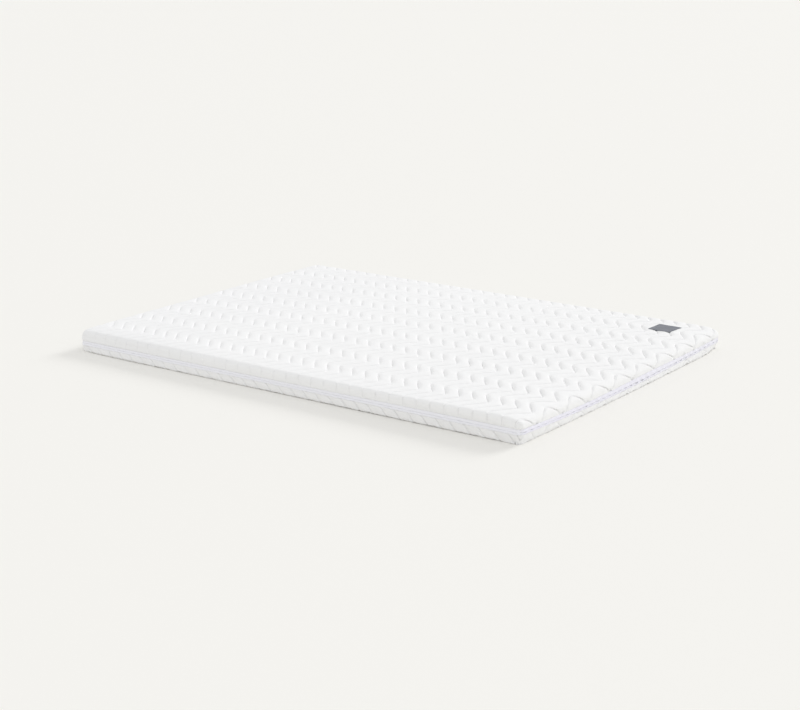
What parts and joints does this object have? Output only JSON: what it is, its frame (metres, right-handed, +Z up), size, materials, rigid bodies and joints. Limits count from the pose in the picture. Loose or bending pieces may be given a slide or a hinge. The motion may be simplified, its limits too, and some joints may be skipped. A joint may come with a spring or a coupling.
{
  "type": "latex mattress",
  "caption": "Thin latex mattress in a white zigzag-quilted cover with soft rounded edges, a zip round the side and a bare dark label.",
  "frame": {"origin": "middle of the underside, at the bottom centre of the bounding box", "axes": "+X along the length towards the end with the label, +Y across the width towards the side with the label, +Z up"},
  "size_m": [1.9, 1.4, 0.0888],
  "materials": {
    "quilted_cover": "soft matt knitted cloth, quilted over wadding",
    "zip_tape": "flat woven tape, pale lavender white",
    "zip_chain": "fine nylon coil, satin",
    "label_cloth": "dark grey woven cloth, matt, bare"
  },
  "bodies": {
    "root": {"cover_top": "quilted_cover", "cover_bottom": "quilted_cover", "zip_tape_upper": "zip_tape", "zip_tape_lower": "zip_tape", "zip_chain": "zip_chain", "label": "label_cloth"}
  },
  "joints": []
}
